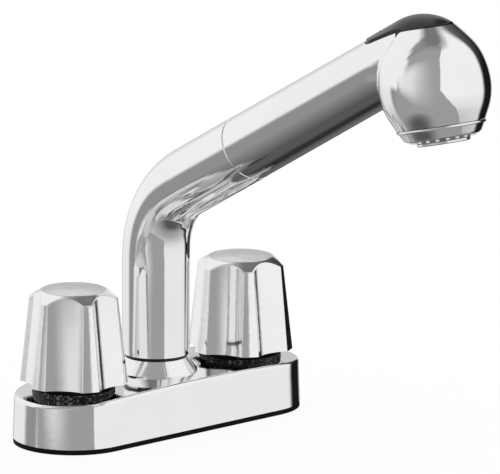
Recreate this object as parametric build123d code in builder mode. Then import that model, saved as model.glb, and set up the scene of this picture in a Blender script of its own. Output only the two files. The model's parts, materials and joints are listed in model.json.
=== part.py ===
from build123d import *
import os
from math import atan2, cos, radians, sin, sqrt, tan

# Two-handle utility sink faucet with a pull-out spray wand.
# Millimetres. X runs from the hot knob to the cold knob, the spout points to -Y, Z is up.
# The origin is the middle of the base where it stands on the sink deck.

# Base
hole_spacing = 101.6
valve_x = hole_spacing / 2
base_radius = 27.3
gasket_thickness = 2.4
base_middle_height = 24.6
base_end_height = 21.7
base_draft = 2.0
base_edge_radius = 1.6
shell_wall = 2.4
handle_seat_radius = 18.9
handle_seat_height = 22.2
seat_ring_radius = 18.5
seat_ring_top = 25.1
deck_hole_radius = 17.0

# Knobs
knob_bottom = 27.6
knob_shoulder = 66.0
knob_bottom_radius = 24.1
knob_shoulder_radius = 20.0
knob_wall = 1.8
knob_edge_radius = 0.8
scallop_radius = 17.0
scallop_depth = 3.8
scallop_count = 6
index_cap_radius = 14.2
index_cap_rim = 69.5
index_cap_top = 70.9
cap_seat = 66.0
cap_underside = 69.0
web_bottom = 62.5
hub_bottom = 44.0
hot_knob_turn = 37.0
cold_knob_turn = 28.0

# Valves
socket_radius = 13.0
socket_bore = 11.0
socket_bottom = 3.0
socket_floor = 7.0
socket_top = 27.0
disc_radius = 9.0
fixed_disc_bottom = 9.0
fixed_disc_top = 11.5
turning_disc_bottom = 11.55
turning_disc_top = 14.0
stem_radius = 5.0
stem_top = 62.5
running_gap = 0.05
bonnet_top = 37.0
flange_top = 28.8
neck_radius = 7.6
foot_height = 3.0
lug_height = 1.6
spline_radius = 4.5
screw_radius = 2.0
screw_depth = 12.5
seal_groove_radius = 6.0
seal_groove_bottom = 33.0
seal_groove_height = 1.6

# Supply below the deck
shank_radius = 10.48
shank_bore = 5.5
shank_bottom = -60.0
thread_relief_radius = 9.4
thread_relief_bottom = -48.5
thread_relief_top = -46.5
spigot_radius = 8.0
spigot_length = 3.0
locknut_top = -32.0
locknut_height = 14.0
washer_thickness = 1.5
cross_tube_y = 18.8
cross_tube_z = 9.0
cross_tube_radius = 4.0
cross_tube_bore = 2.6
outlet_y = 11.5
outlet_bottom = -34.0
outlet_groove_bottom = -14.0
outlet_groove_width = 2.0
outlet_groove_radius = 3.3

# Spout
spout_y = 1.2
tube_radius = 15.25
tube_bore = 13.75
collar_bottom_radius = 18.6
collar_top_radius = 14.2
collar_top = 31.4
glide_ring_radius = 14.3
post_bottom = 32.8
sleeve_radius = 12.3
sleeve_bore = 9.8
sleeve_bottom = 13.6
sleeve_top = 62.0
flange_radius = 13.2
glide_ring_top = 32.75
sleeve_nut_radius = 14.2
retainer_height = 46.0
retainer_radius = 2.5
retainer_groove_radius = 11.4
arm_turn = 61.0
arm_crossing = 102.6
bend_outer_radius = 61.0
bend_inner_radius = 20.4
seam_distance = 70.0
seam_chamfer = 0.3

# Wand, measured along the arm from where its axis crosses the post axis
wand_bore = 13.0
neck_end = 194.0
nose_start = 36.0
nose_radius = 12.35
bushing_start = 38.0
nose_end = 84.0
key_start = 55.0
key_width = 4.0
wand_seam_radius = 15.15
wand_neck_radius = 14.8
neck_fillet_radius = 3.0
head_rim_forward = 181.7
head_rim_height = 159.9
head_tilt = 13.5

# Rocker on top of the head, and the diverter under it
rocker_rear = 137.8
rocker_front = 182.6
rocker_rear_radius = 9.9
rocker_front_radius = 12.2
rocker_gap = 0.4
rocker_tilt_gap = 0.3
rocker_crown_radius = 16.0
rocker_pin_forward = 153.0
rocker_pin_height = 199.9
rocker_bend = 157.0
rocker_bend_height = 208.1
rocker_bend_radius = 30.0
rocker_slope = 29.0
rocker_pin_radius = 1.5
push_rod_radius = 2.0
push_rod_top = 45.6
spool_radius = 5.0
spool_bottom = 10.0
block_radius = 10.0
block_top = 40.0
tube_seat_radius = 4.0

# Spray face
plate_radius = 15.9
bezel_bead_radius = 19.7
aerator_radius = 6.9
nozzle_circle = 14.0
nozzle_radius = 0.8
nozzle_count = 20


def arm_point(distance):
    """A point on the arm axis, at a distance from where it crosses the post axis."""
    forward = distance * sin(radians(arm_turn))
    rise = distance * cos(radians(arm_turn))
    return (0, spout_y - forward, arm_crossing + rise)


def arm_plane(distance):
    """A plane square to the arm, with its normal pointing at the head."""
    direction = (0, -sin(radians(arm_turn)), cos(radians(arm_turn)))
    return Plane(origin=arm_point(distance), x_dir=(1, 0, 0), z_dir=direction)


def head_plane(height):
    """A plane square to the axis of the head, at a height above the outlet rim."""
    up = (0, sin(radians(head_tilt)), cos(radians(head_tilt)))
    origin = (0, -head_rim_forward + height * up[1], head_rim_height + height * up[2])
    return Plane(origin=origin, x_dir=(1, 0, 0), z_dir=up)


os.makedirs("parts", exist_ok=True)


def save(builder, name):
    builder.part.label = name
    export_step(builder.part, "parts/" + name + ".step")


# Base shell: a crowned stadium, open below
def crowned_stadium(radius, bottom, drop):
    """A stadium block whose top is crowned along X and lies lower by the given drop."""
    half_length = valve_x + base_radius
    middle = base_middle_height - drop
    end = base_end_height - drop
    with BuildPart() as block:
        with BuildSketch(Plane.XY.offset(bottom)):
            SlotCenterToCenter(hole_spacing, 2 * radius)
        extrude(amount=base_middle_height, taper=base_draft)
        with BuildSketch(Plane.XZ):
            with BuildLine():
                ThreePointArc((-half_length, end), (0, middle), (half_length, end))
                Line((half_length, end), (half_length, bottom))
                Line((half_length, bottom), (-half_length, bottom))
                Line((-half_length, bottom), (-half_length, end))
            make_face()
        extrude(amount=2 * base_radius, both=True, mode=Mode.INTERSECT)
    return block


shell_form = crowned_stadium(base_radius, gasket_thickness, 0)
shell_void = crowned_stadium(base_radius - shell_wall, gasket_thickness, shell_wall)

with BuildPart() as base_shell:
    add(shell_form.part)
    fillet(base_shell.faces().sort_by(Axis.Z)[-1].edges(), base_edge_radius)
    add(shell_void.part, mode=Mode.SUBTRACT)
    with BuildSketch(Plane.XY.offset(handle_seat_height)):
        with Locations((-valve_x, 0), (valve_x, 0)):
            Circle(handle_seat_radius)
    extrude(amount=-3.0)
    with BuildSketch(Plane.XY.offset(handle_seat_height)):
        with Locations((-valve_x, 0), (valve_x, 0)):
            Circle(handle_seat_radius)
    extrude(amount=3.0, mode=Mode.SUBTRACT)
    with BuildSketch(Plane.XY.offset(base_middle_height)):
        with Locations((0, spout_y)):
            Circle(collar_bottom_radius + 0.3)
    extrude(amount=-shell_wall)
    with BuildSketch(Plane.XY.offset(base_middle_height - shell_wall)):
        with Locations((0, spout_y)):
            Circle(sleeve_nut_radius + 0.5)
    extrude(amount=-2, mode=Mode.SUBTRACT)
    with BuildSketch(Plane.XY.offset(base_middle_height + 1)):
        with Locations((-valve_x, 0), (valve_x, 0)):
            Circle(socket_radius)
        with Locations((0, spout_y)):
            Circle(sleeve_radius)
    extrude(amount=-8, mode=Mode.SUBTRACT)
save(base_shell, "base_shell")

with BuildPart() as base_gasket:
    with BuildSketch():
        SlotCenterToCenter(hole_spacing, 2 * (base_radius - 0.15))
        with Locations((-valve_x, 0), (valve_x, 0)):
            Circle(shank_radius + 0.6, mode=Mode.SUBTRACT)
        Circle(deck_hole_radius, mode=Mode.SUBTRACT)
    extrude(amount=gasket_thickness)
save(base_gasket, "base_gasket")

# Waterway: two valve sockets, a cross tube behind the post and the outlet for the hose
with BuildPart() as waterway:
    with BuildSketch(Plane.XY.offset(socket_bottom)):
        with Locations((-valve_x, 0), (valve_x, 0)):
            Circle(socket_radius)
    extrude(amount=socket_top - socket_bottom)
    with BuildSketch(Plane.YZ.offset(-valve_x)):
        with Locations((cross_tube_y, cross_tube_z)):
            Circle(cross_tube_radius)
    extrude(amount=hole_spacing)
    with BuildSketch(Plane.XZ.offset(-cross_tube_y)):
        with Locations((-valve_x, cross_tube_z), (valve_x, cross_tube_z)):
            Circle(cross_tube_radius)
    extrude(amount=cross_tube_y)
    with BuildSketch(Plane.XZ.offset(-cross_tube_y)):
        with Locations((0, cross_tube_z)):
            Circle(cross_tube_radius)
    extrude(amount=cross_tube_y - outlet_y)
    with BuildSketch(Plane.XY.offset(cross_tube_z)):
        with Locations((0, outlet_y)):
            Circle(cross_tube_radius)
    extrude(amount=outlet_bottom - cross_tube_z)
    with Locations(
        (-valve_x, cross_tube_y, cross_tube_z),
        (valve_x, cross_tube_y, cross_tube_z),
        (0, outlet_y, cross_tube_z),
    ):
        Sphere(cross_tube_radius)
    with BuildSketch(Plane.XY.offset(socket_floor)):
        with Locations((-valve_x, 0), (valve_x, 0)):
            Circle(socket_bore)
    extrude(amount=socket_top, mode=Mode.SUBTRACT)
    with BuildSketch(Plane.XY.offset(socket_bottom)):
        with Locations((-valve_x, 0), (valve_x, 0)):
            Circle(shank_bore)
    extrude(amount=socket_floor, mode=Mode.SUBTRACT)
    with BuildSketch(Plane.XY.offset(socket_bottom)):
        with Locations((-valve_x, 0), (valve_x, 0)):
            Circle(spigot_radius)
    extrude(amount=spigot_length, mode=Mode.SUBTRACT)
    with BuildSketch(Plane.YZ.offset(-valve_x)):
        with Locations((cross_tube_y, cross_tube_z)):
            Circle(cross_tube_bore)
    extrude(amount=hole_spacing, mode=Mode.SUBTRACT)
    with BuildSketch(Plane.XZ.offset(-cross_tube_y)):
        with Locations((-valve_x, cross_tube_z), (valve_x, cross_tube_z)):
            Circle(cross_tube_bore)
    extrude(amount=cross_tube_y - socket_bore + 1, mode=Mode.SUBTRACT)
    with BuildSketch(Plane.XZ.offset(-cross_tube_y)):
        with Locations((0, cross_tube_z)):
            Circle(cross_tube_bore)
    extrude(amount=cross_tube_y - outlet_y, mode=Mode.SUBTRACT)
    with BuildSketch(Plane.XY.offset(cross_tube_z)):
        with Locations((0, outlet_y)):
            Circle(cross_tube_bore)
    extrude(amount=outlet_bottom - cross_tube_z, mode=Mode.SUBTRACT)
    with BuildSketch(Plane.XY.offset(outlet_groove_bottom)):
        with Locations((0, outlet_y)):
            Circle(cross_tube_radius + 1)
            Circle(outlet_groove_radius, mode=Mode.SUBTRACT)
    extrude(amount=outlet_groove_width, mode=Mode.SUBTRACT)
save(waterway, "waterway")

with BuildPart() as deck_washers:
    with BuildSketch(Plane.XY.offset(locknut_top)):
        with Locations((-valve_x, 0), (valve_x, 0)):
            Circle(19.0)
            Circle(shank_radius + 0.1, mode=Mode.SUBTRACT)
    extrude(amount=washer_thickness)
save(deck_washers, "deck_washers")

# Wing nuts that draw the faucet down on the deck
with BuildPart() as deck_locknuts:
    with BuildSketch(Plane.XY.offset(locknut_top - locknut_height)):
        with Locations((-valve_x, 0), (valve_x, 0)):
            Circle(14.5)
            Rectangle(46, 5)
            Rectangle(5, 46)
            Circle(shank_radius, mode=Mode.SUBTRACT)
    extrude(amount=locknut_height)
    with BuildSketch(Plane.XY.offset(locknut_top)):
        with Locations((-valve_x, 0), (valve_x, 0)):
            Circle(18.5)
            Circle(shank_radius, mode=Mode.SUBTRACT)
    extrude(amount=-2.5)
save(deck_locknuts, "deck_locknuts")

with BuildPart() as seat_rings:
    with BuildSketch(Plane.XY.offset(handle_seat_height)):
        with Locations((-valve_x, 0), (valve_x, 0)):
            Circle(seat_ring_radius)
            Circle(socket_radius + 0.1, mode=Mode.SUBTRACT)
    extrude(amount=seat_ring_top - handle_seat_height)
save(seat_rings, "seat_rings")

with BuildPart() as seat_seals:
    with BuildSketch(Plane.XY.offset(socket_floor)):
        with Locations((-valve_x, 0), (valve_x, 0)):
            Circle(disc_radius)
            Circle(shank_bore + 0.3, mode=Mode.SUBTRACT)
    extrude(amount=fixed_disc_bottom - socket_floor)
save(seat_seals, "seat_seals")

with BuildPart() as stem_seals:
    with BuildSketch(Plane.XY.offset(seal_groove_bottom)):
        with Locations((-valve_x, 0), (valve_x, 0)):
            Circle(seal_groove_radius)
            Circle(stem_radius + running_gap, mode=Mode.SUBTRACT)
    extrude(amount=seal_groove_height)
save(stem_seals, "stem_seals")


# Knob: a tapered cone with concave scallops, also used smaller as its cavity
def knob_form(x, turn, inset, top):
    """The scalloped cone of a knob from its bottom edge to a height, inset by a wall."""
    draft = (knob_bottom_radius - knob_shoulder_radius) / (knob_shoulder - knob_bottom)
    with BuildPart() as form:
        for height in (knob_bottom, top):
            radius = knob_bottom_radius - draft * (height - knob_bottom)
            with BuildSketch(Plane(origin=(x, 0, height))):
                Circle(radius - inset)
                with PolarLocations(radius - scallop_depth + scallop_radius, scallop_count, turn):
                    Circle(scallop_radius + inset, mode=Mode.SUBTRACT)
        loft(ruled=True)
    return form


for name, x, knob_turn in (("hot", -valve_x, hot_knob_turn), ("cold", valve_x, cold_knob_turn)):
    upright = Plane(origin=(x, 0, 0), x_dir=(1, 0, 0), z_dir=(0, -1, 0))
    axis = Axis((x, 0, 0), (0, 0, 1))

    with BuildPart() as inlet_shank:
        with BuildSketch(upright):
            with BuildLine():
                Polyline(
                    (shank_bore, shank_bottom),
                    (shank_radius - 1, shank_bottom),
                    (shank_radius, shank_bottom + 1),
                    (shank_radius, thread_relief_bottom),
                    (thread_relief_radius, thread_relief_bottom),
                    (thread_relief_radius, thread_relief_top),
                    (shank_radius, thread_relief_top),
                    (shank_radius, socket_bottom),
                    (spigot_radius, socket_bottom),
                    (spigot_radius, socket_bottom + spigot_length),
                    (shank_bore, socket_bottom + spigot_length),
                    close=True,
                )
            make_face()
        revolve(axis=axis)
    save(inlet_shank, name + "_inlet_shank")

    with BuildPart() as fixed_disc:
        with BuildSketch(Plane(origin=(x, 0, fixed_disc_bottom))):
            Circle(disc_radius)
            with PolarLocations(0, 2):
                SlotArc(CenterArc((0, 0), 5, -32, 64), 4.4, mode=Mode.SUBTRACT)
        extrude(amount=fixed_disc_top - fixed_disc_bottom)
    save(fixed_disc, name + "_fixed_disc")

    # The ports of the turning disc stand a quarter turn from those of the fixed disc: closed
    with BuildPart() as turning_disc:
        with BuildSketch(Plane(origin=(x, 0, turning_disc_bottom))):
            Circle(disc_radius - 0.2)
            with PolarLocations(0, 2, start_angle=90):
                SlotArc(CenterArc((0, 0), 5, -32, 64), 4.4, mode=Mode.SUBTRACT)
        extrude(amount=turning_disc_top - turning_disc_bottom)
        with BuildSketch(Plane(origin=(x, 0, turning_disc_top))):
            with PolarLocations(disc_radius, 2):
                Rectangle(3.2, 3.2)
        extrude(amount=-lug_height, mode=Mode.SUBTRACT)
    save(turning_disc, name + "_turning_disc")

    with BuildPart() as valve_stem:
        with BuildSketch(Plane(origin=(x, 0, turning_disc_top))):
            Circle(disc_radius - 0.2)
            Rectangle(2 * disc_radius, 6.5, mode=Mode.INTERSECT)
        extrude(amount=foot_height)
        with BuildSketch(Plane(origin=(x, 0, turning_disc_top))):
            Circle(disc_radius - 0.2)
            with PolarLocations(disc_radius, 2):
                Rectangle(3.0, 3.0, mode=Mode.INTERSECT)
        extrude(amount=-lug_height)
        with BuildSketch(Plane(origin=(x, 0, turning_disc_top))):
            Circle(stem_radius)
        extrude(amount=bonnet_top + 3 - turning_disc_top)
        with BuildSketch(Plane(origin=(x, 0, bonnet_top + 3))):
            Circle(spline_radius)
        extrude(amount=stem_top - bonnet_top - 3)
        with BuildSketch(Plane(origin=(x, 0, stem_top))):
            Circle(screw_radius)
        extrude(amount=-screw_depth, mode=Mode.SUBTRACT)
    save(valve_stem, name + "_valve_stem")

    with BuildPart() as cartridge_body:
        with BuildSketch(upright):
            with BuildLine():
                Polyline(
                    (disc_radius + 0.4, 8.2),
                    (10.2, 8.2),
                    (10.2, 19.0),
                    (socket_bore, 19.0),
                    (socket_bore, socket_top),
                    (socket_radius - 0.1, socket_top),
                    (socket_radius - 0.1, flange_top),
                    (neck_radius, flange_top),
                    (neck_radius, bonnet_top),
                    (stem_radius + running_gap, bonnet_top),
                    (stem_radius + running_gap, seal_groove_bottom + seal_groove_height),
                    (seal_groove_radius, seal_groove_bottom + seal_groove_height),
                    (seal_groove_radius, seal_groove_bottom),
                    (stem_radius + running_gap, seal_groove_bottom),
                    (stem_radius + running_gap, turning_disc_top + foot_height + 0.4),
                    (disc_radius + 0.4, turning_disc_top + foot_height + 0.4),
                    close=True,
                )
            make_face()
        revolve(axis=axis)
        with BuildSketch(upright):
            with Locations((0, turning_disc_top + 1.6)):
                Rectangle(6, 3.2)
        extrude(amount=12, both=True, mode=Mode.SUBTRACT)
    save(cartridge_body, name + "_cartridge_body")

    with BuildPart() as bonnet_nut:
        with BuildSketch(Plane(origin=(x, 0, seat_ring_top))):
            RegularPolygon(14.6, 6, major_radius=False)
            Circle(socket_radius, mode=Mode.SUBTRACT)
        extrude(amount=flange_top - seat_ring_top)
        with BuildSketch(Plane(origin=(x, 0, flange_top))):
            RegularPolygon(14.6, 6, major_radius=False)
            Circle(neck_radius, mode=Mode.SUBTRACT)
        extrude(amount=1.8)
        chamfer(bonnet_nut.faces().sort_by(Axis.Z)[-1].outer_wire().edges(), 0.8)
    save(bonnet_nut, name + "_bonnet_nut")

    outer = knob_form(x, knob_turn, 0, index_cap_rim)
    cavity = knob_form(x, knob_turn, knob_wall, web_bottom)

    with BuildPart() as knob:
        add(outer.part)
        with BuildSketch(upright):
            with BuildLine():
                Polyline(
                    (0, knob_bottom),
                    (knob_bottom_radius + 1, knob_bottom),
                    (knob_shoulder_radius + 1, knob_shoulder - 0.62),
                    (index_cap_radius + 0.4, index_cap_rim),
                    (0, index_cap_rim),
                    close=True,
                )
            make_face()
        revolve(axis=axis, mode=Mode.INTERSECT)
        between = knob.edges().filter_by_position(Axis.Z, knob_bottom + 1, index_cap_rim - 0.2)
        fillet(between, knob_edge_radius)
        add(cavity.part, mode=Mode.SUBTRACT)
        with BuildSketch(Plane(origin=(x, 0, hub_bottom))):
            Circle(8.0)
            Circle(spline_radius, mode=Mode.SUBTRACT)
        extrude(amount=web_bottom - hub_bottom)
        with BuildSketch(Plane(origin=(x, 0, web_bottom))):
            Circle(screw_radius + 0.2)
        extrude(amount=10, mode=Mode.SUBTRACT)
        with BuildSketch(Plane(origin=(x, 0, cap_seat))):
            Circle(index_cap_radius)
        extrude(amount=10, mode=Mode.SUBTRACT)
    save(knob, name + "_knob")

    with BuildPart() as index_cap:
        with BuildSketch(upright):
            with BuildLine():
                Line((0, index_cap_top), (0, cap_underside))
                Line((0, cap_underside), (index_cap_radius - 1.8, cap_underside))
                Line((index_cap_radius - 1.8, cap_underside), (index_cap_radius - 1.8, cap_seat))
                Line((index_cap_radius - 1.8, cap_seat), (index_cap_radius, cap_seat))
                Line((index_cap_radius, cap_seat), (index_cap_radius, index_cap_rim + 0.1))
                TangentArc(
                    (0, index_cap_top),
                    (index_cap_radius, index_cap_rim + 0.1),
                    tangent=(1, 0),
                )
            make_face()
        revolve(axis=axis)
    save(index_cap, name + "_index_cap")

    with BuildPart() as handle_screw:
        with BuildSketch(Plane(origin=(x, 0, cap_seat))):
            Circle(4.2)
        extrude(amount=2.5)
        fillet(handle_screw.edges().group_by(Axis.Z)[-1], 0.6)
        with BuildSketch(Plane(origin=(x, 0, stem_top - screw_depth + 1))):
            Circle(screw_radius)
        extrude(amount=cap_seat - stem_top + screw_depth - 1)
        with BuildSketch(Plane(origin=(x, 0, cap_seat + 2.5))):
            Rectangle(5.0, 1.1)
            Rectangle(1.1, 5.0)
        extrude(amount=-1.3, mode=Mode.SUBTRACT)
    save(handle_screw, name + "_handle_screw")

# Spout mounting on the base
with BuildPart() as collar:
    with BuildSketch(Plane.XZ.offset(-spout_y)):
        with BuildLine():
            Polyline(
                (sleeve_radius, base_middle_height),
                (collar_bottom_radius, base_middle_height),
                (collar_bottom_radius, base_middle_height + 0.4),
                (collar_top_radius, collar_top - 0.3),
                (collar_top_radius - 0.3, collar_top),
                (sleeve_radius, collar_top),
                close=True,
            )
        make_face()
    revolve(axis=Axis((0, spout_y, 0), (0, 0, 1)))
save(collar, "collar")

with BuildPart() as glide_ring:
    with BuildSketch(Plane.XY.offset(collar_top)):
        with Locations((0, spout_y)):
            Circle(glide_ring_radius)
            Circle(flange_radius, mode=Mode.SUBTRACT)
    extrude(amount=glide_ring_top - collar_top)
save(glide_ring, "glide_ring")

with BuildPart() as swivel_sleeve:
    with BuildSketch(Plane.XZ.offset(-spout_y)):
        with BuildLine():
            Polyline(
                (sleeve_bore, sleeve_bottom),
                (sleeve_radius, sleeve_bottom),
                (sleeve_radius, collar_top),
                (flange_radius, collar_top),
                (flange_radius, glide_ring_top),
                (sleeve_radius, glide_ring_top),
                (sleeve_radius, retainer_height - 2),
                (retainer_groove_radius, retainer_height - 2),
                (retainer_groove_radius, retainer_height + 2),
                (sleeve_radius, retainer_height + 2),
                (sleeve_radius, sleeve_top - 1),
                (sleeve_radius - 1, sleeve_top),
                (sleeve_bore, sleeve_top),
                close=True,
            )
        make_face()
    revolve(axis=Axis((0, spout_y, 0), (0, 0, 1)))
save(swivel_sleeve, "swivel_sleeve")

with BuildPart() as sleeve_nut:
    with BuildSketch(Plane.XY.offset(sleeve_bottom + 1)):
        with Locations((0, spout_y)):
            Circle(sleeve_nut_radius)
            Circle(sleeve_radius, mode=Mode.SUBTRACT)
    extrude(amount=base_middle_height - shell_wall - sleeve_bottom - 1)
    with BuildSketch(Plane.XY.offset(sleeve_bottom + 1)):
        with Locations((0, spout_y)):
            Rectangle(2 * sleeve_nut_radius, 3)
            Rectangle(3, 2 * sleeve_nut_radius)
    extrude(amount=3, mode=Mode.SUBTRACT)
save(sleeve_nut, "sleeve_nut")

with BuildPart() as wear_rings:
    with BuildSketch(Plane.XY.offset(36)):
        with Locations((0, spout_y)):
            Circle(tube_bore - running_gap)
            Circle(sleeve_radius, mode=Mode.SUBTRACT)
    extrude(amount=4)
    with BuildSketch(Plane.XY.offset(55)):
        with Locations((0, spout_y)):
            Circle(tube_bore - running_gap)
            Circle(sleeve_radius, mode=Mode.SUBTRACT)
    extrude(amount=4.5)
save(wear_rings, "wear_rings")


# Spout: a post, a bend that is slimmer than the tube, and the arm
def bend_section(turn):
    """The plane of a section of the bend, and the outer and inner distance from its pivot."""
    half = radians(arm_turn / 2)
    pivot = (tube_radius - bend_outer_radius) / cos(half)
    inner_centre = (-tube_radius - bend_inner_radius) / cos(half) - pivot
    near = radians(min(turn, arm_turn - turn))
    inside = bend_outer_radius - 2 * tube_radius
    straight_end = atan2((inside - bend_inner_radius) * tan(half), inside)
    if near < straight_end:
        inner = inside / cos(near)
    else:
        side = inner_centre * sin(half - near)
        inner = inner_centre * cos(half - near) + sqrt(bend_inner_radius**2 - side**2)
    middle = Vector(0, cos(half), sin(half))
    across = Vector(0, cos(radians(turn)), sin(radians(turn)))
    centre = (
        Vector(0, spout_y, arm_crossing)
        + middle * pivot
        + across * ((bend_outer_radius + inner) / 2)
    )
    plane = Plane(origin=centre, x_dir=(1, 0, 0), z_dir=Vector(1, 0, 0).cross(across))
    return plane, (bend_outer_radius - inner) / 2


def spout_form(wall, low, high):
    """The spout as a solid rod, inset by a wall, from a height to a distance on the arm."""
    radius = tube_radius - wall
    straight = (bend_outer_radius - tube_radius) * tan(radians(arm_turn / 2))
    with BuildPart() as form:
        with BuildSketch(Plane.XY.offset(low)):
            with Locations((0, spout_y)):
                Circle(radius)
        extrude(amount=arm_crossing - straight - 6 - low)
        for below in (6, 3, 0):
            with BuildSketch(Plane(origin=(0, spout_y, arm_crossing - straight - below))):
                Circle(radius)
        for step in range(1, 8):
            plane, half_thickness = bend_section(arm_turn * step / 8)
            with BuildSketch(plane):
                Ellipse(radius, half_thickness - wall)
        for beyond in (0, 3, 6):
            with BuildSketch(arm_plane(straight + beyond)):
                Circle(radius)
        loft()
        with BuildSketch(arm_plane(straight + 6)):
            Circle(radius)
        extrude(amount=high - straight - 6)
    return form


tube_form = spout_form(0, post_bottom, seam_distance)
tube_void = spout_form(tube_radius - tube_bore, post_bottom, seam_distance)

with BuildPart() as spout_tube:
    add(tube_form.part)
    add(tube_void.part, mode=Mode.SUBTRACT)
    chamfer(spout_tube.faces().sort_by(Axis.Y)[0].outer_wire().edges(), seam_chamfer)
    with BuildSketch(Plane.XZ.offset(-spout_y)):
        with Locations((0, retainer_height)):
            Circle(retainer_radius)
    extrude(amount=-20, mode=Mode.SUBTRACT)
save(spout_tube, "spout_tube")

# Collet in the arm that the wand docks in, with a key slot below
with BuildPart() as dock_bushing:
    with BuildSketch(arm_plane(bushing_start)):
        Circle(tube_bore)
        Circle(nose_radius + running_gap, mode=Mode.SUBTRACT)
    extrude(amount=seam_distance - 0.8 - bushing_start)
    with BuildSketch(arm_plane(key_start - 0.3)):
        with Locations((0, -nose_radius - 0.5)):
            Rectangle(key_width + 0.4, 3.5)
    extrude(amount=seam_distance - key_start, mode=Mode.SUBTRACT)
save(dock_bushing, "dock_bushing")

# Wand: a slightly tapered neck that flows into a bulbous head, hollow inside
head_base = head_plane(0)
head_side = Plane(
    origin=head_base.origin,
    x_dir=(1, 0, 0),
    z_dir=Vector(1, 0, 0).cross(head_base.z_dir),
)
head_axis = Axis(head_base.origin, head_base.z_dir)
arm_side = Plane(
    origin=arm_point(0),
    x_dir=(1, 0, 0),
    z_dir=Vector(1, 0, 0).cross(arm_plane(0).z_dir),
)
arm_axis = Axis(arm_point(0), arm_plane(0).z_dir)


def side_point(forward, height):
    """A point of the side view, given how far it lies in front of the origin and its height."""
    return (-forward, height)


def rocker_outline(grow, shorten):
    """The outline of the rocker seen from above, grown by a gap and shortened at both ends."""
    with BuildSketch() as outline:
        with Locations((0, -rocker_front + rocker_front_radius + shorten)):
            Circle(rocker_front_radius + grow)
        with Locations((0, -rocker_rear - rocker_rear_radius - shorten)):
            Circle(rocker_rear_radius + grow)
        make_hull()
    return outline


# The pocket floor slopes down from the head to the neck
pocket_floor = [
    side_point(130, 188.4),
    side_point(152, 197.6),
    side_point(166, 201.2),
    side_point(190, 205.0),
]

with BuildPart() as wand_void:
    with BuildSketch(arm_plane(seam_distance)):
        Circle(wand_bore)
    extrude(amount=neck_end - 8 - seam_distance)
    with BuildSketch(head_side):
        with BuildLine():
            Spline(
                (17.1, 5.1),
                (20.6, 12.5),
                (22.0, 20.0),
                (21.0, 30.0),
                (17.9, 37.8),
                (9.0, 47.2),
                (0, 48.3),
                tangents=((0.5, 1), (-1, 0)),
            )
            Line((0, 48.3), (0, 5.1))
            Line((0, 5.1), (17.1, 5.1))
        make_face()
    revolve(axis=head_axis)
    with BuildSketch(Plane.YZ):
        with BuildLine():
            Polyline(
                side_point(133, 187.9),
                side_point(152, 196.1),
                side_point(166, 199.7),
                side_point(200, 205.1),
                side_point(200, 240),
                side_point(133, 240),
                close=True,
            )
        make_face()
    extrude(amount=30, both=True, mode=Mode.SUBTRACT)

with BuildPart() as rocker_pocket:
    add(rocker_outline(rocker_gap, 0).sketch)
    extrude(amount=230)
    with BuildSketch(Plane.YZ):
        with BuildLine():
            Polyline(*pocket_floor, side_point(190, 240), side_point(130, 240), close=True)
        make_face()
    extrude(amount=30, both=True, mode=Mode.INTERSECT)

with BuildPart() as wand_shell:
    with BuildSketch(arm_side):
        with BuildLine():
            Polyline(
                (0, seam_distance),
                (wand_seam_radius - seam_chamfer, seam_distance),
                (wand_seam_radius, seam_distance + seam_chamfer),
                (wand_neck_radius, neck_end),
                (0, neck_end),
                close=True,
            )
        make_face()
    revolve(axis=arm_axis)
    with BuildSketch(head_side):
        with BuildLine():
            Spline(
                (19.4, 5.1),
                (22.7, 12.0),
                (24.3, 20.0),
                (23.3, 30.0),
                (20.1, 38.0),
                (11.2, 49.0),
                (0, 50.8),
                tangents=((0.5, 1), (-1, 0)),
            )
            Line((0, 50.8), (0, 5.1))
            Line((0, 5.1), (19.4, 5.1))
        make_face()
    revolve(axis=head_axis)
    junction = wand_shell.edges().filter_by(GeomType.BSPLINE).filter_by_position(Axis.Z, 170, 200)
    fillet(junction.filter_by_position(Axis.X, -20, 20), neck_fillet_radius)
    add(wand_void.part, mode=Mode.SUBTRACT)
    add(rocker_pocket.part, mode=Mode.SUBTRACT)
    with BuildSketch(head_plane(38)):
        Circle(push_rod_radius + 0.2)
    extrude(amount=9, mode=Mode.SUBTRACT)
    with BuildSketch(Plane.YZ):
        with BuildLine():
            Polyline(
                side_point(150, 196.4),
                side_point(150, 201.8),
                side_point(156, 201.8),
                side_point(156, 198.0),
                close=True,
            )
        make_face()
    extrude(amount=7.0, both=True)
    with BuildSketch(Plane.YZ):
        with Locations(side_point(rocker_pin_forward, rocker_pin_height)):
            Circle(rocker_pin_radius)
    extrude(amount=7.0, both=True, mode=Mode.SUBTRACT)
    with BuildSketch(Plane.YZ):
        with BuildLine():
            Polyline(
                side_point(149, 196.34),
                side_point(149, 203),
                side_point(157, 203),
                side_point(157, 198.89),
                side_point(152, 197.6),
                close=True,
            )
        make_face()
    extrude(amount=3.8, both=True, mode=Mode.SUBTRACT)
save(wand_shell, "wand_shell")

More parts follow.
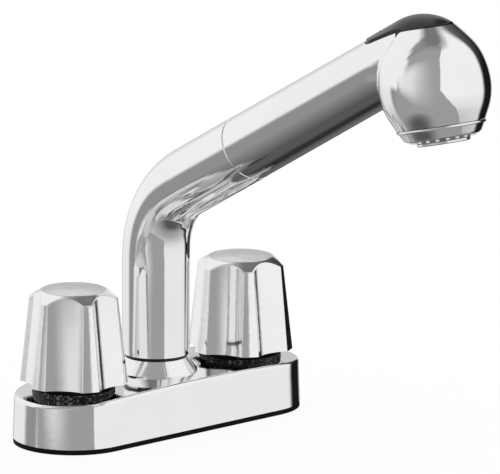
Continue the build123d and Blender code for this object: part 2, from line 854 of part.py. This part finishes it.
# Rocker: a crowned saddle that follows the neck and rolls over the top of the head
with BuildPart() as rocker:
    slope = radians(rocker_slope)
    with BuildSketch(
        Plane(
            origin=(0, -rocker_bend, rocker_bend_height),
            x_dir=(1, 0, 0),
            z_dir=(0, -cos(slope), sin(slope)),
        )
    ):
        half = sqrt(rocker_crown_radius**2 - (rocker_crown_radius - 10) ** 2)
        with BuildLine():
            ThreePointArc((-half, -10), (0, 0), (half, -10))
            Line((half, -10), (-half, -10))
        make_face()
    extrude(amount=-24)
    bend_centre = (
        0,
        -rocker_bend - rocker_bend_radius * sin(slope),
        rocker_bend_height - rocker_bend_radius * cos(slope),
    )
    revolve(
        rocker.faces().sort_by(Axis.Y)[0],
        axis=Axis(bend_centre, (1, 0, 0)),
        revolution_arc=60,
    )
    add(rocker_outline(0, rocker_tilt_gap).sketch)
    extrude(amount=230, mode=Mode.INTERSECT)
    with BuildSketch(Plane.YZ):
        with BuildLine():
            Polyline(
                side_point(130, 188.94),
                side_point(165, 203.2),
                side_point(190, 209.3),
                side_point(190, 180),
                side_point(130, 180),
                close=True,
            )
        make_face()
    extrude(amount=30, both=True, mode=Mode.SUBTRACT)
    for side in (-5.4, 5.4):
        with BuildSketch(Plane.YZ.offset(side)):
            with Locations(side_point(rocker_pin_forward, rocker_pin_height - 2.5)):
                Rectangle(8.8, 10)
        extrude(amount=2.0, both=True, mode=Mode.SUBTRACT)
    with BuildSketch(Plane.YZ):
        with Locations(side_point(rocker_pin_forward, rocker_pin_height)):
            Circle(rocker_pin_radius + running_gap)
    extrude(amount=7.2, both=True, mode=Mode.SUBTRACT)
save(rocker, "rocker")

with BuildPart() as rocker_pin:
    with BuildSketch(Plane.YZ):
        with Locations(side_point(rocker_pin_forward, rocker_pin_height)):
            Circle(rocker_pin_radius)
    extrude(amount=7.0, both=True)
save(rocker_pin, "rocker_pin")

# Dock nose that enters the collet of the arm
with BuildPart() as dock_nose:
    with BuildSketch(arm_side):
        with BuildLine():
            Polyline(
                (8.4, nose_start),
                (nose_radius - 1, nose_start),
                (nose_radius, nose_start + 1),
                (nose_radius, seam_distance),
                (wand_bore, seam_distance),
                (wand_bore, nose_end),
                (tube_seat_radius, nose_end),
                (tube_seat_radius, nose_end - 6),
                (5.2, nose_end - 6),
                (5.2, nose_start + 8),
                (8.4, nose_start + 8),
                close=True,
            )
        make_face()
    revolve(axis=arm_axis)
    with BuildSketch(arm_plane(key_start)):
        with Locations((0, -nose_radius)):
            Rectangle(key_width, 1.8)
    extrude(amount=seam_distance - 1 - key_start)
save(dock_nose, "dock_nose")

with BuildPart() as hose_connector:
    with BuildSketch(arm_side):
        with BuildLine():
            Polyline(
                (4.0, 20.0),
                (5.8, 20.0),
                (6.8, 22.0),
                (6.8, 34.0),
                (8.4, 34.0),
                (8.4, nose_start + 8),
                (5.0, nose_start + 8),
                (5.0, 35.0),
                (4.0, 35.0),
                close=True,
            )
        make_face()
    revolve(axis=arm_axis)
save(hose_connector, "hose_connector")

with BuildPart() as check_valve:
    with BuildSketch(arm_plane(35)):
        Circle(5.0)
        Circle(3.6, mode=Mode.SUBTRACT)
        Rectangle(8, 1.2)
        Rectangle(1.2, 8)
    extrude(amount=nose_start + 8 - 35.2)
save(check_valve, "check_valve")

# Water way inside the wand: a tube along the neck, an elbow and a valve block in the head
elbow_start = Vector(arm_point(181))
block_entry = Vector(head_plane(27).origin)
elbow_plane = Plane(
    origin=elbow_start, x_dir=(1, 0, 0), z_dir=(block_entry - elbow_start).normalized()
)

with BuildPart() as wand_waterway:
    with BuildSketch(arm_plane(nose_end - 6)):
        Circle(tube_seat_radius)
    extrude(amount=181 - nose_end + 6)
    with Locations(elbow_start):
        Sphere(tube_seat_radius)
    with BuildSketch(elbow_plane):
        Circle(tube_seat_radius)
    extrude(amount=14)
    with BuildSketch(head_plane(4.9)):
        Circle(17.0)
    extrude(amount=2.6)
    with BuildSketch(head_plane(7)):
        Circle(block_radius)
    extrude(amount=block_top - 7)
    with BuildSketch(head_plane(4.9)):
        Circle(spool_radius + running_gap)
    extrude(amount=block_top - 3 - 4.9, mode=Mode.SUBTRACT)
    with BuildSketch(head_plane(30)):
        Circle(push_rod_radius + running_gap)
    extrude(amount=20, mode=Mode.SUBTRACT)
    with BuildSketch(head_plane(4.9)):
        with PolarLocations(13.6, 6):
            Circle(1.4)
    extrude(amount=2.6, mode=Mode.SUBTRACT)
    with BuildSketch(elbow_plane):
        Circle(tube_seat_radius - 1.3)
    extrude(amount=15, mode=Mode.SUBTRACT)
    with BuildSketch(arm_plane(nose_end - 6)):
        Circle(tube_seat_radius - 1.3)
    extrude(amount=181 - nose_end + 6, mode=Mode.SUBTRACT)
save(wand_waterway, "wand_waterway")

with BuildPart() as diverter_spool:
    with BuildSketch(head_side):
        with BuildLine():
            Polyline(
                (0, spool_bottom),
                (spool_radius, spool_bottom),
                (spool_radius, spool_bottom + 6),
                (3.0, spool_bottom + 6),
                (3.0, spool_bottom + 15),
                (spool_radius, spool_bottom + 15),
                (spool_radius, spool_bottom + 20),
                (push_rod_radius, spool_bottom + 20),
                (push_rod_radius, push_rod_top),
                (0, push_rod_top),
                close=True,
            )
        make_face()
    revolve(axis=head_axis)
save(diverter_spool, "diverter_spool")

# Spray face
with BuildPart() as bezel_ring:
    with BuildSketch(head_side):
        with BuildLine():
            Polyline(
                (19.3, 4.9),
                (15.3, 4.9),
                (15.3, 2.0),
                (plate_radius, 2.0),
                (plate_radius, 0.3),
                (plate_radius + 0.3, 0),
                (16.6, 0),
                (17.0, 0.5),
                (18.8, 3.6),
            )
            ThreePointArc((18.8, 3.6), (bezel_bead_radius, 4.2), (19.3, 4.9))
        make_face()
    revolve(axis=head_axis)
save(bezel_ring, "bezel_ring")

with BuildPart() as spray_plate:
    with BuildSketch(head_side):
        with BuildLine():
            Polyline(
                (aerator_radius, -3.0),
                (11.3, -3.0),
                (11.7, -2.6),
                (11.7, -0.4),
                (plate_radius, -0.4),
                (plate_radius, 2.0),
                (aerator_radius, 2.0),
                close=True,
            )
        make_face()
    revolve(axis=head_axis)
    with BuildSketch(head_plane(-1)):
        with PolarLocations(nozzle_circle, nozzle_count):
            Circle(nozzle_radius)
    extrude(amount=4, mode=Mode.SUBTRACT)
save(spray_plate, "spray_plate")

# Soft nozzles moulded on one ring
with BuildPart() as nozzle_ring:
    with BuildSketch(head_plane(2.0)):
        Circle(15.2)
        Circle(12.4, mode=Mode.SUBTRACT)
    extrude(amount=1.4)
    with BuildSketch(head_plane(2.0)):
        with PolarLocations(nozzle_circle, nozzle_count):
            Circle(nozzle_radius)
    extrude(amount=-3.3)
save(nozzle_ring, "nozzle_ring")

with BuildPart() as face_seal:
    with BuildSketch(head_plane(3.4)):
        Circle(15.2)
        Circle(12.4, mode=Mode.SUBTRACT)
        with PolarLocations(13.6, 6):
            Circle(1.0, mode=Mode.SUBTRACT)
    extrude(amount=1.5)
save(face_seal, "face_seal")

with BuildPart() as aerator:
    with BuildSketch(head_plane(-2.8)):
        Circle(aerator_radius)
        Circle(5.8, mode=Mode.SUBTRACT)
    extrude(amount=7.7)
    with BuildSketch(head_plane(-2.1)):
        Circle(6.0)
        Circle(0.9, mode=Mode.SUBTRACT)
        with PolarLocations(3.4, 6):
            Circle(0.9, mode=Mode.SUBTRACT)
    extrude(amount=0.8)
save(aerator, "aerator")

with BuildPart() as swivel_set_screw:
    with BuildSketch(Plane.XZ.offset(-spout_y)):
        with Locations((0, retainer_height)):
            Circle(retainer_radius)
    extrude(amount=-tube_radius + 0.3)
    with BuildSketch(Plane.XZ.offset(-spout_y)):
        with Locations((0, retainer_height)):
            Circle(retainer_radius)
    extrude(amount=-12.4, mode=Mode.SUBTRACT)
    with BuildSketch(Plane.XZ.offset(-spout_y - 11.8)):
        with Locations((0, retainer_height)):
            Circle(1.7)
    extrude(amount=-1.0)
    with BuildSketch(Plane.XZ.offset(-spout_y - tube_radius + 0.3)):
        with Locations((0, retainer_height)):
            RegularPolygon(1.1, 6)
    extrude(amount=1.6, mode=Mode.SUBTRACT)
save(swivel_set_screw, "swivel_set_screw")
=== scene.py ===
import json
import math

import bpy
from mathutils import Matrix, Vector

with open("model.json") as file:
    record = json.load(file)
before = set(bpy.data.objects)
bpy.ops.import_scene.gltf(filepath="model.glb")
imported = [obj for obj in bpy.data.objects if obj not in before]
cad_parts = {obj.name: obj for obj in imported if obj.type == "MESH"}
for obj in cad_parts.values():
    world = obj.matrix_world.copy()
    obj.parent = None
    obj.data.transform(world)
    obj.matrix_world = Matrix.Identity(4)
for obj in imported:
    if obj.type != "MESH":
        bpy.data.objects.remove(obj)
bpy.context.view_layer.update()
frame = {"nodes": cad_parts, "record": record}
nodes = frame["nodes"]

# The camera was fitted to the photograph: direction, distance and lens, and how far beside
# the origin it aims, as shares of the distance
view_azimuth = math.radians(42.46)
view_elevation = math.radians(13.89)
camera_distance = 3.53
camera_lens = 563.0
sensor_width = 36.0
aim_right = 0.01179
aim_up = 0.02372

# Axes of the view: right and up in the picture, forward from the camera, and toward, which
# is level and points at the camera
right = Vector((math.cos(view_azimuth), -math.sin(view_azimuth), 0))
forward = Vector(
    (
        math.sin(view_azimuth) * math.cos(view_elevation),
        math.cos(view_azimuth) * math.cos(view_elevation),
        -math.sin(view_elevation),
    )
)
up = right.cross(forward)
toward = Vector((-math.sin(view_azimuth), -math.cos(view_azimuth), 0))

x_axis = Vector((1, 0, 0))
y_axis = Vector((0, 1, 0))
z_axis = Vector((0, 0, 1))


def add_camera():
    """The camera stands straight in front of the origin and looks a little beside it."""
    data = bpy.data.cameras.new("photo_camera")
    data.lens = camera_lens
    data.sensor_width = sensor_width
    data.clip_end = 50.0
    camera = bpy.data.objects.new("photo_camera", data)
    look = (forward + right * aim_right + up * aim_up).normalized()
    side = look.cross(up).normalized()
    top = side.cross(look)
    turn = Matrix((side, top, -look)).transposed()
    camera.matrix_world = Matrix.Translation(forward * -camera_distance) @ turn.to_4x4()
    bpy.context.scene.collection.objects.link(camera)
    bpy.context.scene.camera = camera


class Graph:
    """A node tree with short calls for the nodes that are used here."""

    def __init__(self, tree):
        self.tree = tree
        tree.nodes.clear()

    def node(self, kind, **settings):
        made = self.tree.nodes.new(kind)
        for name, value in settings.items():
            setattr(made, name, value)
        return made

    def put(self, socket, value):
        """Link a socket to a socket, or set a plain value on it."""
        if isinstance(value, bpy.types.NodeSocket):
            self.tree.links.new(value, socket)
        else:
            socket.default_value = value

    def math(self, operation, a, b=None):
        made = self.node("ShaderNodeMath", operation=operation)
        self.put(made.inputs[0], a)
        if b is not None:
            self.put(made.inputs[1], b)
        return made.outputs[0]

    def plus(self, a, b):
        return self.math("ADD", a, b)

    def minus(self, a, b):
        return self.math("SUBTRACT", a, b)

    def times(self, a, b):
        return self.math("MULTIPLY", a, b)

    def over(self, a, b):
        return self.math("DIVIDE", a, b)

    def length(self, x, y):
        return self.math("SQRT", self.plus(self.times(x, x), self.times(y, y)))

    def dot(self, vector, axis):
        made = self.node("ShaderNodeVectorMath", operation="DOT_PRODUCT")
        self.put(made.inputs[0], vector)
        made.inputs[1].default_value = axis
        return made.outputs["Value"]

    def ramp(self, value, low, high, to_low=0.0, to_high=1.0, smooth=False):
        """Goes from to_low at low to to_high at high, and stays level outside them."""
        made = self.node("ShaderNodeMapRange", clamp=True)
        made.interpolation_type = "SMOOTHSTEP" if smooth else "LINEAR"
        for name, given in (
            ("Value", value),
            ("From Min", low),
            ("From Max", high),
            ("To Min", to_low),
            ("To Max", to_high),
        ):
            self.put(made.inputs[name], given)
        return made.outputs["Result"]

    def band(self, value, low, high, soft):
        """One between low and high, and zero outside, with soft ends."""
        rise = self.ramp(value, low - soft, low + soft, smooth=True)
        fall = self.ramp(value, high + soft, high - soft, smooth=True)
        return self.times(rise, fall)

    def blend(self, share, a, b):
        made = self.node("ShaderNodeMix", data_type="FLOAT")
        for index, given in ((0, share), (2, a), (3, b)):
            self.put(made.inputs[index], given)
        return made.outputs[0]

    def blend_colour(self, share, a, b):
        """Mixes two colours, which are sockets or three numbers."""
        made = self.node("ShaderNodeMix", data_type="RGBA")
        self.put(made.inputs[0], share)
        for index, given in ((6, a), (7, b)):
            self.put(made.inputs[index], (*given, 1) if isinstance(given, tuple) else given)
        return made.outputs[2]

    def noise(self, vector, scale, detail=2.0, rough=0.5):
        made = self.node("ShaderNodeTexNoise")
        self.put(made.inputs["Vector"], vector)
        made.inputs["Scale"].default_value = scale
        made.inputs["Detail"].default_value = detail
        made.inputs["Roughness"].default_value = rough
        return made.outputs["Fac"]

    def bump(self, height, distance, strength):
        made = self.node("ShaderNodeBump")
        made.inputs["Distance"].default_value = distance
        made.inputs["Strength"].default_value = strength
        self.put(made.inputs["Height"], height)
        return made.outputs[0]

    def surface(self, shader, kind="ShaderNodeOutputMaterial"):
        """The tree's output shows the node shader."""
        self.put(self.node(kind).inputs["Surface"], shader.outputs[0])


def start_material(name):
    """An empty material, its node tree, and the position in the shared frame in metres."""
    material = bpy.data.materials.new(name)
    material.use_nodes = True
    g = Graph(material.node_tree)
    return material, g, g.node("ShaderNodeTexCoord").outputs["Object"]


def grey_tint(value):
    return (value, value, value)


def darker(tint, share):
    return tuple(channel * share for channel in tint)


# The studio
def add_world():
    """The studio that the chrome reflects: angle from the camera to the right, and height.

    Both are in degrees. A white tent stands over a ground that darkens towards the object's
    foot. A grey wall with a dark foot stands behind, a grey panel on the left, and a black
    flag, which leans to the right, on the right behind. A grey board hangs above the camera,
    and the tent's roof is grey. All but reflections see plain white.
    """
    tent_white = 0.95
    board_grey = 0.30
    roof_grey = 0.20
    degrees = 180 / math.pi

    world = bpy.data.worlds.new("studio")
    bpy.context.scene.world = world
    world.use_nodes = True
    world.cycles.sampling_method = "NONE"
    g = Graph(world.node_tree)
    direction = g.node("ShaderNodeTexCoord").outputs["Generated"]
    turn = g.math("ARCTAN2", g.dot(direction, right), g.dot(direction, toward))
    angle = g.times(turn, degrees)
    height = g.times(g.math("ARCSINE", g.dot(direction, z_axis)), degrees)

    # Ground, which turns into the tent just below the horizon
    ground = g.ramp(height, -70, -20, 0.10, 0.85)
    value = g.blend(g.ramp(height, -15, -5), ground, tent_white)

    # Wall behind, up to 15 degrees high, with a dark foot
    wall = g.times(g.ramp(g.math("ABSOLUTE", angle), 150, 175), g.ramp(height, 30, 15))
    value = g.blend(wall, value, g.ramp(height, -25, -8, 0.03, 0.60))

    # Panel on the left, below the horizon
    panel = g.times(g.band(angle, -105, -74, 6), g.ramp(height, -3, -9))
    value = g.blend(panel, value, g.ramp(height, -70, -30, 0.08, 0.30))

    # Board above the camera and to its left
    board = g.times(g.band(angle, -90, 5, 5), g.ramp(height, 40, 54))
    value = g.blend(board, value, board_grey)

    # Flag on the right behind: it leans to the right and fades upwards
    upright_angle = g.minus(angle, g.ramp(height, 0, 40, 0, 14))
    flag_black = g.ramp(height, 5, 50, 0.01, 0.13)
    value = g.blend(g.band(upright_angle, 115, 160, 7), value, flag_black)

    # Roof
    value = g.blend(g.ramp(height, 64, 80), value, roof_grey)

    reflected = g.node("ShaderNodeLightPath").outputs["Is Glossy Ray"]
    background = g.node("ShaderNodeBackground")
    g.put(background.inputs["Color"], g.blend_colour(reflected, (1, 1, 1), value))
    g.surface(background, "ShaderNodeOutputWorld")


def flat_piece(name, corners, material, faces=None):
    """A flat piece of the studio: one face round all corners, unless faces are given."""
    mesh = bpy.data.meshes.new(name)
    mesh.from_pydata(corners, [], faces or [tuple(range(len(corners)))])
    mesh.materials.append(material)
    piece = bpy.data.objects.new(name, mesh)
    bpy.context.scene.collection.objects.link(piece)
    return piece


def add_card(name, corners, make_grey):
    """A card that only reflections see. make_grey gives its brightness from a position."""
    material, g, place = start_material(name)
    emission = g.node("ShaderNodeEmission")
    g.put(emission.inputs["Color"], make_grey(g, place))
    g.surface(emission)
    card = flat_piece(name, corners, material)
    card.visible_camera = False
    card.visible_diffuse = False
    card.visible_shadow = False
    card.visible_transmission = False
    card.visible_volume_scatter = False


def studio_point(across, front, height):
    """A point of the studio: metres to the right of the origin, in front of it, and up."""
    return right * across + toward * front + z_axis * height


def front_card_grey(g, place):
    """Grey with two pools of light on the left and a white sheet over the upper left."""
    pool_light = 0.45
    sheet_white = 0.93
    sheet_slant = 0.8
    half_soft = 0.09
    across = g.dot(place, right)
    rise = g.dot(place, z_axis)

    # The pools end at a soft edge that leans to the right, and fade far to the left
    middle = g.ramp(rise, 0.0, 0.12, -0.13, 0.04)
    lit = g.ramp(across, g.plus(middle, half_soft), g.minus(middle, half_soft), smooth=True)
    lit = g.times(lit, g.ramp(across, -0.90, -0.35))
    pools = g.plus(g.band(rise, -0.04, 0.06, 0.03), g.band(rise, 0.15, 0.30, 0.05))
    plain_grey = g.ramp(rise, 0.45, 0.80, 0.36, 0.25)
    value = g.plus(plain_grey, g.times(g.times(lit, pools), pool_light))

    # The sheet has a slanted lower edge
    slanted = g.plus(rise, g.times(across, sheet_slant))
    sheet = g.times(g.ramp(slanted, 0.30, 0.20), g.ramp(rise, 0.15, 0.30))
    sheet = g.times(sheet, g.ramp(across, -0.10, -0.30))
    return g.blend(sheet, value, sheet_white)


def low_card_grey(g, place):
    """Plain grey with one soft dark spot."""
    spot_across, spot_front, spot_stretch = 0.08, 0.17, 0.75
    card_grey, spot_grey = 0.35, 0.10
    x = g.minus(g.dot(place, right), spot_across)
    y = g.times(g.minus(g.dot(place, toward), spot_front), spot_stretch)
    return g.blend(g.ramp(g.length(x, y), 0.05, 0.01, smooth=True), card_grey, spot_grey)


def add_cards():
    """Two cards on the camera's side: one upright in front of the object, one low by its head."""
    front_card_front = 0.257
    front_card_outline = (
        (-1.20, -0.12),
        (0.135, -0.12),
        (0.135, 0.09),
        (0.23, 0.10),
        (0.135, 0.195),
        (0.15, 0.32),
        (0.26, 0.80),
        (-1.20, 0.80),
    )
    corners = [studio_point(across, front_card_front, rise) for across, rise in front_card_outline]
    add_card("grey_card", corners, front_card_grey)

    low_card_height = 0.11
    low_card_outline = (
        (-0.30, 0.13),
        (0.185, 0.13),
        (0.200, 0.21),
        (0.222, 0.256),
        (-0.30, 0.256),
    )
    corners = [studio_point(across, front, low_card_height) for across, front in low_card_outline]
    add_card("low_card", corners, low_card_grey)


def add_floor():
    """A white floor: the camera sees it nearly shadowless, as in the photograph."""
    # The camera sees this share of plain white, and the rest keeps the object's shadow
    camera_white = 0.88
    material, g, place = start_material("floor_white")
    grain = g.ramp(g.noise(place, 60.0, 3), 0.3, 0.7, 0.985, 1.0)
    tone = g.node("ShaderNodeCombineColor")
    for socket in tone.inputs:
        g.put(socket, grain)
    matt = g.node("ShaderNodeBsdfPrincipled")
    g.put(matt.inputs["Base Color"], tone.outputs[0])
    matt.inputs["Roughness"].default_value = 1.0
    matt.inputs["Specular IOR Level"].default_value = 0.0
    white = g.node("ShaderNodeEmission")
    seen = g.node("ShaderNodeLightPath").outputs["Is Camera Ray"]
    mixed = g.node("ShaderNodeMixShader")
    g.put(mixed.inputs[0], g.times(seen, camera_white))
    g.put(mixed.inputs[1], matt.outputs[0])
    g.put(mixed.inputs[2], white.outputs[0])
    g.surface(mixed)

    # The opening for the inlets and the hose lies under the gasket, as in a sink's deck
    reach = 4.0
    half_x, half_y = 0.064, 0.0175
    floor_level = 0.0001
    corners = [
        (x * sign_x, y * sign_y, floor_level)
        for x, y in ((reach, reach), (half_x, half_y))
        for sign_x, sign_y in ((-1, -1), (1, -1), (1, 1), (-1, 1))
    ]
    faces = [(i, (i + 1) % 4, (i + 1) % 4 + 4, i + 4) for i in range(4)]
    floor = flat_piece("floor", corners, material, faces)
    floor.visible_glossy = False
    floor.visible_transmission = False


# Materials. Lengths are in metres, and noise scales are per metre.
brass_bright = (0.78, 0.60, 0.30)
brass_dull = (0.62, 0.45, 0.22)

# The outlet: its axis leans by head_tilt, and heights are counted from its rim
head_tilt = math.radians(13.5)
head_up = Vector((0, math.sin(head_tilt), math.cos(head_tilt)))
head_back = Vector((0, math.cos(head_tilt), -math.sin(head_tilt)))
head_rim = Vector((0, -0.1817, 0.1599))


def set_shader(g, colour, roughness, normal, metallic=0.0, specular=0.5):
    shader = g.node("ShaderNodeBsdfPrincipled")
    for name, value in (
        ("Base Color", colour),
        ("Roughness", roughness),
        ("Normal", normal),
        ("Metallic", metallic),
        ("Specular IOR Level", specular),
    ):
        g.put(shader.inputs[name], value)
    g.surface(shader)


def chrome(name, tint, rough, ripple, ripple_scale):
    """Bright plating: nearly a mirror, with faint ripple, haze and fine rubbing marks."""
    material, g, place = start_material(name)
    haze = g.noise(place, 38.0, 3)
    rubbed = g.noise(place, 900.0)
    marks = g.plus(g.times(haze, 0.75), g.times(rubbed, 0.25))
    set_shader(
        g,
        g.blend_colour(g.ramp(haze, 0.4, 0.75), tint, darker(tint, 0.965)),
        g.ramp(marks, 0.35, 0.7, *rough),
        g.bump(g.noise(place, ripple_scale), ripple, 0.6),
        metallic=1.0,
    )
    return material


def satin_metal(name, tint):
    """Satin disc with a mottled, slightly uneven face, softer than the plating beside it."""
    material, g, place = start_material(name)
    fine = g.noise(place, 1600.0, 3, 0.6)
    broad = g.noise(place, 150.0, 3)
    mottle = g.noise(place, 300.0, 3, 0.6)
    set_shader(
        g,
        g.blend_colour(g.ramp(broad, 0.35, 0.7), tint, darker(tint, 0.86)),
        g.ramp(fine, 0.3, 0.7, 0.16, 0.28),
        g.bump(mottle, 0.0003, 0.6),
        metallic=1.0,
    )
    return material


def plain_metal(name, tint, tarnished, rough):
    """Machined metal with tool marks and slight tarnish."""
    material, g, place = start_material(name)
    tarnish = g.noise(place, 85.0, 4, 0.6)
    squeezed = g.node("ShaderNodeMapping")
    g.put(squeezed.inputs["Vector"], place)
    squeezed.inputs["Scale"].default_value = (1.0, 1.0, 9.0)
    lines = g.noise(squeezed.outputs[0], 700.0)
    set_shader(
        g,
        g.blend_colour(g.ramp(tarnish, 0.35, 0.75), tint, tarnished),
        g.ramp(lines, 0.3, 0.7, *rough),
        g.bump(lines, 0.0001, 0.4),
        metallic=1.0,
    )
    return material


def threaded_brass(name, centre):
    """Brass with a screw thread round the upright axis at x = centre, with painted shade darkening
    its grooves.
    """
    pitch = 0.00181
    plain_radius, thread_radius = 0.0098, 0.0103
    # Colour of the painted shade in the thread's grooves
    groove_shade_colour = (0.30, 0.21, 0.10)
    material, g, place = start_material(name)
    x = g.minus(g.dot(place, x_axis), centre)
    y = g.dot(place, y_axis)
    turn = g.over(g.math("ARCTAN2", y, x), 2 * math.pi)
    winding = g.plus(g.over(g.dot(place, z_axis), pitch), turn)
    threaded = g.ramp(g.length(x, y), plain_radius, thread_radius)
    # The crest runs from 0 in the groove to 1, because PINGPONG reaches half
    crest = g.times(g.times(g.math("PINGPONG", winding, 0.5), threaded), 2.0)
    tarnish = g.noise(place, 85.0, 4, 0.6)
    brass_tone = g.blend_colour(g.ramp(tarnish, 0.35, 0.75), brass_bright, brass_dull)
    # Painted shade: the thread's grooves are darkened towards their bottom
    painted_groove_shade = g.times(threaded, g.ramp(crest, 0.45, 0.0))
    set_shader(
        g,
        g.blend_colour(painted_groove_shade, brass_tone, groove_shade_colour),
        g.ramp(tarnish, 0.3, 0.7, 0.24, 0.38),
        g.bump(crest, 0.0007, 0.9),
        metallic=1.0,
    )
    return material


def screen_plastic(name):
    """The aerator: white plastic whose face carries a fine woven screen."""
    mesh_pitch = 0.0009
    material, g, place = start_material(name)
    across = g.math("PINGPONG", g.over(g.dot(place, x_axis), mesh_pitch), 0.5)
    along = g.math("PINGPONG", g.over(g.dot(place, head_back), mesh_pitch), 0.5)
    wires = g.ramp(g.math("MAXIMUM", across, along), 0.30, 0.46)
    set_shader(
        g,
        g.blend_colour(wires, grey_tint(0.24), (0.72, 0.72, 0.71)),
        g.ramp(g.noise(place, 1400.0, 3), 0.3, 0.7, 0.3, 0.45),
        g.bump(wires, 0.0003, 0.7),
    )
    return material


def spray_face(name):
    """Grey spray plate, glossy, with a painted highlight: a band of bright chrome round the lower
    edge of its boss.
    """
    # Tint of the chrome band that carries the painted highlight
    highlight_chrome_tint = (0.88, 0.885, 0.89)
    material, g, place = start_material(name)
    height = g.minus(g.dot(place, head_up), head_up.dot(head_rim))
    # Painted highlight: a thin band near the boss's lower edge is made bright chrome
    edge_highlight_band = g.times(g.ramp(height, -0.0018, -0.0020), g.ramp(height, -0.00275, -0.0026))
    cloud = g.ramp(g.noise(place, 300.0, 3), 0.35, 0.7)
    grey = g.blend_colour(cloud, (0.13, 0.133, 0.137), (0.18, 0.183, 0.187))
    fine = g.noise(place, 1400.0, 3)
    set_shader(
        g,
        g.blend_colour(edge_highlight_band, grey, highlight_chrome_tint),
        g.ramp(fine, 0.3, 0.7, 0.09, 0.18),
        g.bump(fine, 0.00001, 0.5),
        metallic=edge_highlight_band,
        specular=0.9,
    )
    return material


def speckled_rubber(name):
    """Black seat ring: coarse grain with paler flecks in it."""
    material, g, place = start_material(name)
    # Noise that gives the paler flecks, and the grain's roughness and bumps
    flecks = g.noise(place, 780.0, 4, 0.75)
    set_shader(
        g,
        g.blend_colour(g.ramp(flecks, 0.52, 0.64), grey_tint(0.005), grey_tint(0.24)),
        g.ramp(flecks, 0.3, 0.7, 0.35, 0.7),
        g.bump(flecks, 0.0003, 0.6),
        specular=0.2,
    )
    return material


def moulded(name, tint, worn, rough, grain, grain_scale, gloss=0.5):
    """Moulded plastic or rubber with a fine grain and slightly paler rubbed patches."""
    material, g, place = start_material(name)
    cloud = g.noise(place, 55.0, 4, 0.6)
    fine = g.noise(place, grain_scale, 3, 0.6)
    set_shader(
        g,
        g.blend_colour(g.ramp(cloud, 0.45, 0.8), tint, worn),
        g.ramp(fine, 0.3, 0.7, *rough),
        g.bump(fine, grain, 0.5),
        specular=gloss,
    )
    return material


def make_materials():
    """A material for each slot of the record, and the variants that dress_nodes names."""
    silver = (0.90, 0.905, 0.91)
    hole_spacing = 0.1016
    # Each chrome: name, tint, roughness, height and scale of the ripple
    special = (
        (chrome, "chrome_cast", silver, (0.05, 0.09), 0.00010, 120.0),
        (chrome, "chrome_tube", silver, (0.05, 0.08), 0.00005, 90.0),
        (chrome, "chrome_knob", silver, (0.10, 0.15), 0.00007, 140.0),
        (chrome, "chrome_ring", (0.86, 0.865, 0.87), (0.09, 0.13), 0.00005, 200.0),
        (satin_metal, "index_metal", (0.76, 0.765, 0.77)),
        (plain_metal, "brass", brass_bright, brass_dull, (0.22, 0.38)),
        (plain_metal, "steel", (0.62, 0.62, 0.63), (0.50, 0.50, 0.51), (0.24, 0.40)),
        (threaded_brass, "hot_thread", -hole_spacing / 2),
        (threaded_brass, "cold_thread", hole_spacing / 2),
        (speckled_rubber, "seat_black"),
        (spray_face, "spray_grey"),
        (screen_plastic, "screen_white"),
    )
    # Name, tint, rubbed tint, roughness, height and scale of the grain, gloss where not plain
    mouldings = (
        ("rocker_black", grey_tint(0.007), grey_tint(0.013), (0.15, 0.24), 0.00002, 1400.0, 0.34),
        ("black_rubber", grey_tint(0.004), grey_tint(0.008), (0.6, 0.8), 0.00006, 1500.0, 0.08),
        ("black_plastic", grey_tint(0.007), grey_tint(0.014), (0.28, 0.40), 0.00003, 2200.0, 0.32),
        ("ceramic", (0.88, 0.87, 0.84), (0.84, 0.83, 0.80), (0.12, 0.22), 0.00001, 900.0),
        ("white_plastic", (0.80, 0.80, 0.78), (0.74, 0.74, 0.72), (0.35, 0.5), 0.00003, 1400.0),
        ("grey_plastic", (0.44, 0.45, 0.46), (0.50, 0.51, 0.52), (0.2, 0.32), 0.00001, 1400.0),
        ("nozzle_rubber", (0.86, 0.87, 0.87), (0.80, 0.81, 0.82), (0.4, 0.55), 0.00001, 1800.0),
    )
    made = {name: make(name, *rest) for make, name, *rest in special}
    made.update({name: moulded(name, *rest) for name, *rest in mouldings})
    return made


def dress_nodes(materials):
    """Every CAD node takes the material of its slot in the record, or its own variant of it."""
    variants = {
        "bezel_ring": "chrome_ring",
        "seat_rings": "seat_black",
        "rocker": "rocker_black",
        "spray_plate": "spray_grey",
        "aerator": "screen_white",
        "hot_inlet_shank": "hot_thread",
        "cold_inlet_shank": "cold_thread",
    }
    for entry in frame["record"]["subparts"]:
        chosen = variants.get(entry["node"], entry["material_slot"])
        slots = nodes[entry["node"]].data.materials
        slots.clear()
        slots.append(materials[chosen])


scene = bpy.context.scene
scene.view_settings.view_transform = "Standard"
add_camera()
add_world()
add_cards()
add_floor()
dress_nodes(make_materials())
